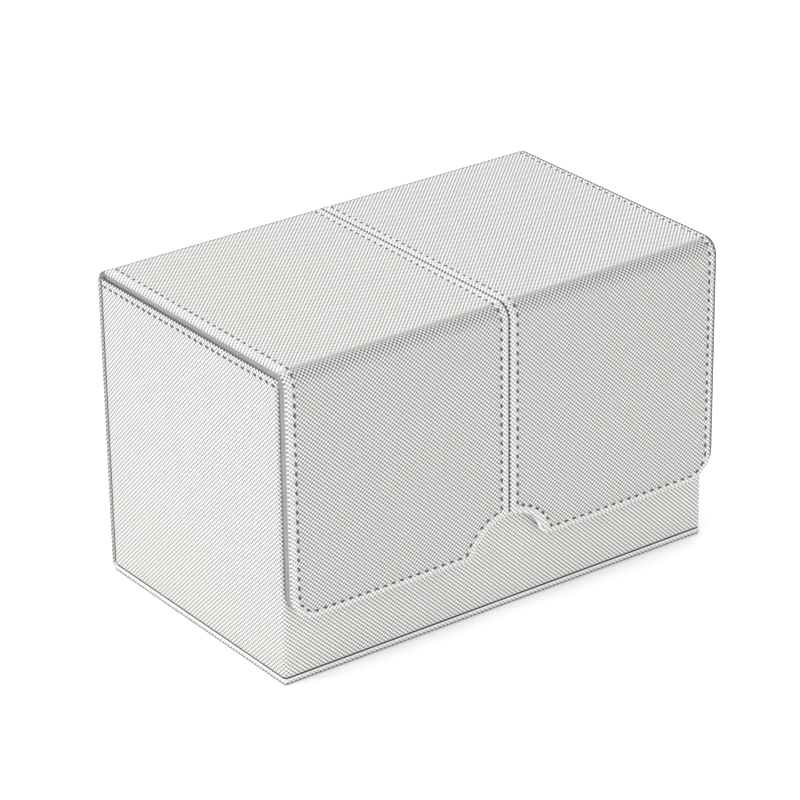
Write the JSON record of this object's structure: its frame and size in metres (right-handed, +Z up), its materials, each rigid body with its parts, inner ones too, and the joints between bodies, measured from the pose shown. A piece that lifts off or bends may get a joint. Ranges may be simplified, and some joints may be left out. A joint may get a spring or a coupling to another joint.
{
  "type": "card box with drawer",
  "caption": "Two-bay card storage box in stitched leatherette, with two flip lids, magnetic front flaps and a side drawer underneath.",
  "frame": {"origin": "middle of the resting face of the closed box", "axes": "+X to the side where the drawer comes out, along the box's longest side; -Y to the front with the flaps; +Z up"},
  "size_m": [0.172, 0.1066, 0.1096],
  "materials": {
    "leatherette": "white polyurethane leatherette embossed with a fine basket weave, matt",
    "microfibre": "grey brushed microfibre",
    "greyboard": "raw grey pressed board",
    "magnet": "nickel-plated disc magnets",
    "thread": "pale polyester sewing thread"
  },
  "bodies": {
    "case": {"cover_skin": "leatherette", "base_board": "greyboard", "back_board": "greyboard", "box_skin": "leatherette", "front_wall_board": "greyboard", "rear_wall_board": "greyboard", "left_wall_board": "greyboard", "right_wall_board": "greyboard", "shelf_board": "greyboard", "divider_board": "greyboard", "divider_cap": "leatherette", "card_bay_lining_left": "microfibre", "card_bay_lining_right": "microfibre", "drawer_bay_lining": "microfibre", "wall_magnets": "magnet", "bay_magnets": "magnet", "hinge_skin_left": "leatherette", "hinge_skin_right": "leatherette", "hinge_lining_left": "microfibre", "hinge_lining_right": "microfibre"},
    "lid_left": {"lid_top_skin_left": "leatherette", "lid_top_board_left": "greyboard", "lid_top_lining_left": "microfibre", "flap_bend_skin_left": "leatherette", "flap_bend_lining_left": "microfibre"},
    "flap_left": {"flap_skin_left": "leatherette", "flap_board_left": "greyboard", "flap_lining_left": "microfibre", "flap_notch_trim_left": "leatherette", "flap_magnets_left": "magnet"},
    "lid_right": {"lid_top_skin_right": "leatherette", "lid_top_board_right": "greyboard", "lid_top_lining_right": "microfibre", "flap_bend_skin_right": "leatherette", "flap_bend_lining_right": "microfibre"},
    "flap_right": {"flap_skin_right": "leatherette", "flap_board_right": "greyboard", "flap_lining_right": "microfibre", "flap_notch_trim_right": "leatherette", "flap_magnets_right": "magnet"},
    "drawer": {"drawer_wrap": "leatherette", "drawer_floor_board": "greyboard", "drawer_front_side_board": "greyboard", "drawer_rear_side_board": "greyboard", "drawer_face_board": "greyboard", "drawer_end_board": "greyboard", "drawer_lining": "microfibre", "drawer_magnets": "magnet"}
  },
  "joints": [
    {"name": "lid_left_hinge", "type": "hinge", "parent": "case", "child": "lid_left", "pos_m": [-0.04315, 0.05169, 0.10799], "axis": [-1, 0, 0], "range_deg": [0, 180], "deforming": ["hinge_skin_left", "hinge_lining_left"]},
    {"name": "flap_left_hinge", "type": "hinge", "parent": "lid_left", "child": "flap_left", "pos_m": [-0.04315, -0.05169, 0.10799], "axis": [-1, 0, 0], "range_deg": [0, 90], "deforming": ["flap_bend_skin_left", "flap_bend_lining_left"]},
    {"name": "lid_right_hinge", "type": "hinge", "parent": "case", "child": "lid_right", "pos_m": [0.04315, 0.05169, 0.10799], "axis": [-1, 0, 0], "range_deg": [0, 180], "deforming": ["hinge_skin_right", "hinge_lining_right"]},
    {"name": "flap_right_hinge", "type": "hinge", "parent": "lid_right", "child": "flap_right", "pos_m": [0.04315, -0.05169, 0.10799], "axis": [-1, 0, 0], "range_deg": [0, 90], "deforming": ["flap_bend_skin_right", "flap_bend_lining_right"]},
    {"name": "drawer_slide", "type": "slide", "parent": "case", "child": "drawer", "axis": [1, 0, 0], "range_m": [0, 0.15]}
  ]
}
